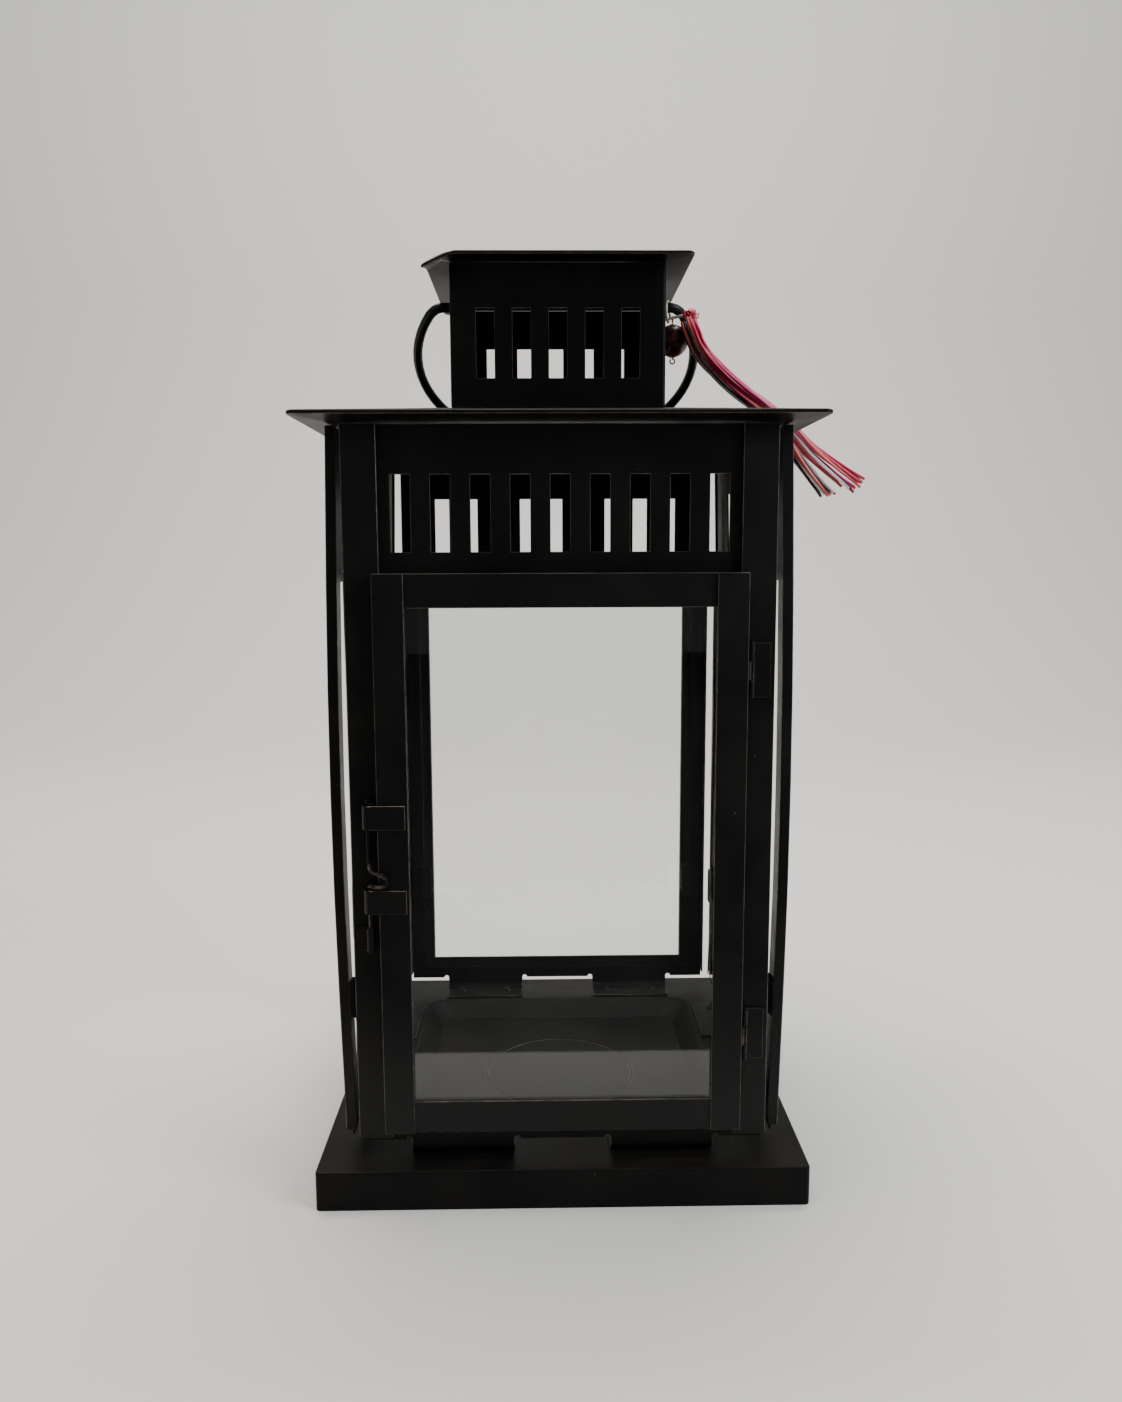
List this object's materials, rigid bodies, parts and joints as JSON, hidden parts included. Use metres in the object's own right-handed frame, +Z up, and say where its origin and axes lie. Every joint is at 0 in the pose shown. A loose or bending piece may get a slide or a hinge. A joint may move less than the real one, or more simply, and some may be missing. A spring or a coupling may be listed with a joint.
{
  "type": "candle lantern",
  "caption": "Square sheet steel candle lantern with a glazed hinged door, wire bolt latch, vented header, chimney with cap, bail handle and a corded bead tassel.",
  "frame": {"origin": "on the floor under the middle of the base", "axes": "+Z up; the door faces -Y; +X is to the right of someone who looks at the door"},
  "size_m": [0.2733, 0.227, 0.4388],
  "materials": {
    "black_paint": "satin powder coat",
    "clear_glass": "clear float glass",
    "dark_steel": "blackened wire, lightly rubbed",
    "bright_ring": "bright plated wire",
    "brass_wire": "dull brass wire",
    "maroon_bead": "dark glossy round bead",
    "crimson_cord": "glossy rayon cord",
    "white_cord": "glossy rayon cord",
    "black_cord": "glossy rayon cord",
    "pink_cord": "glossy rayon cord",
    "coral_cord": "glossy rayon cord"
  },
  "bodies": {
    "lantern": {"base_tray": "black_paint", "wall_front": "black_paint", "wall_right": "black_paint", "wall_rear": "black_paint", "wall_left": "black_paint", "post_front_left": "black_paint", "post_front_right": "black_paint", "post_right_front": "black_paint", "post_right_rear": "black_paint", "post_rear_right": "black_paint", "post_rear_left": "black_paint", "post_left_rear": "black_paint", "post_left_front": "black_paint", "glass_right": "clear_glass", "glass_rear": "clear_glass", "glass_left": "clear_glass", "pane_clip_right_a": "black_paint", "pane_clip_right_b": "black_paint", "pane_clip_rear_a": "black_paint", "pane_clip_rear_b": "black_paint", "pane_clip_left_a": "black_paint", "pane_clip_left_b": "black_paint", "hinge_leaf_post_lower": "black_paint", "hinge_leaf_post_upper": "black_paint", "hinge_pin_lower": "dark_steel", "hinge_pin_upper": "dark_steel", "latch_catch": "black_paint", "roof": "black_paint", "chimney": "black_paint", "cap": "black_paint", "tassel_split_ring": "bright_ring", "tassel_link": "bright_ring", "tassel_bead": "maroon_bead", "tassel_bead_wire": "brass_wire", "tassel_knot": "crimson_cord", "tassel_strand_1": "crimson_cord", "tassel_strand_2": "white_cord", "tassel_strand_3": "crimson_cord", "tassel_strand_4": "black_cord", "tassel_strand_5": "pink_cord", "tassel_strand_6": "crimson_cord", "tassel_strand_7": "coral_cord", "tassel_strand_8": "white_cord", "tassel_strand_9": "crimson_cord"},
    "door": {"door_stile_left": "black_paint", "door_stile_right": "black_paint", "door_rail_bottom": "black_paint", "door_rail_top": "black_paint", "door_glass": "clear_glass", "door_clip_a": "black_paint", "door_clip_b": "black_paint", "hinge_leaf_door_lower": "black_paint", "hinge_leaf_door_upper": "black_paint", "latch_strap_lower": "black_paint", "latch_strap_upper": "black_paint"},
    "bolt": {"latch_bolt": "dark_steel"},
    "bail": {"bail_handle": "black_paint"}
  },
  "joints": [
    {"name": "door_swing", "type": "hinge", "parent": "lantern", "child": "door", "pos_m": [0.0828, -0.1028, 0.16025], "axis": [0, 0, 1], "range_deg": [0, 110]},
    {"name": "bolt_slide", "type": "slide", "parent": "door", "child": "bolt", "axis": [0, 0, 1], "range_m": [0, 0.012]},
    {"name": "bail_swing", "type": "hinge", "parent": "lantern", "child": "bail", "pos_m": [0, 0, 0.4193], "axis": [1, 0, 0], "range_deg": [0, 210]}
  ]
}
